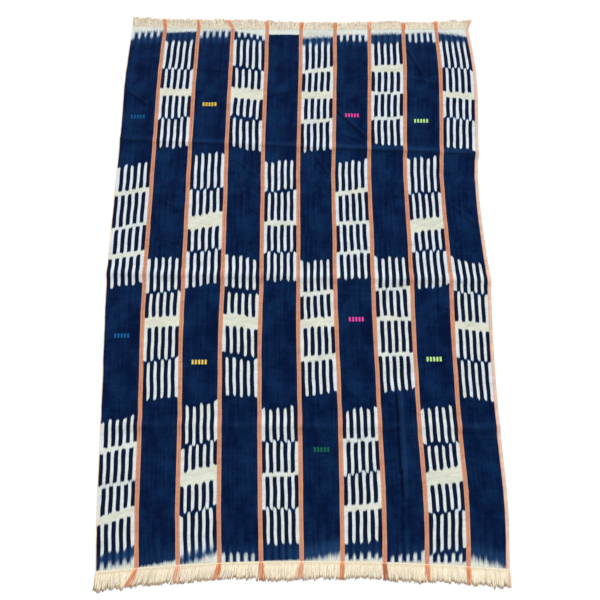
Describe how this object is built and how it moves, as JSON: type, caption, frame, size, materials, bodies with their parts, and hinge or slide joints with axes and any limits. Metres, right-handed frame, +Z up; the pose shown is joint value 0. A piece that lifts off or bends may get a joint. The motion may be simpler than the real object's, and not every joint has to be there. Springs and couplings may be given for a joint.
{
  "type": "woven indigo cloth",
  "caption": "Fringed cotton cloth of narrow indigo and white ikat strips with orange edges, sewn side by side and laid flat with soft fold creases.",
  "frame": {"origin": "middle of the laid cloth's outline, on the surface that it lies on", "axes": "+Y along the strips towards the far end, +X across them to the right, +Z up"},
  "size_m": [1.0476, 1.5838, 0.0068],
  "materials": {
    "indigo_cotton": "matte handwoven cotton, resist dyed in indigo",
    "undyed_cotton": "matte undyed cotton warp",
    "orange_cotton": "matte orange cotton, seam thread and selvedge",
    "bright_cotton": "slightly glossy coloured floss of the small brocade marks"
  },
  "bodies": {
    "root": {"strip_01": "indigo_cotton", "strip_02": "indigo_cotton", "strip_03": "indigo_cotton", "strip_04": "indigo_cotton", "strip_05": "indigo_cotton", "strip_06": "indigo_cotton", "strip_07": "indigo_cotton", "strip_08": "indigo_cotton", "strip_09": "indigo_cotton", "strip_10": "indigo_cotton", "near_fringe_01": "undyed_cotton", "near_fringe_02": "undyed_cotton", "near_fringe_03": "undyed_cotton", "near_fringe_04": "undyed_cotton", "near_fringe_05": "undyed_cotton", "near_fringe_06": "undyed_cotton", "near_fringe_07": "undyed_cotton", "near_fringe_08": "undyed_cotton", "near_fringe_09": "undyed_cotton", "near_fringe_10": "undyed_cotton", "far_fringe_01": "undyed_cotton", "far_fringe_02": "undyed_cotton", "far_fringe_03": "undyed_cotton", "far_fringe_04": "undyed_cotton", "far_fringe_05": "undyed_cotton", "far_fringe_06": "undyed_cotton", "far_fringe_07": "undyed_cotton", "far_fringe_08": "undyed_cotton", "far_fringe_09": "undyed_cotton", "far_fringe_10": "undyed_cotton"}
  },
  "joints": []
}
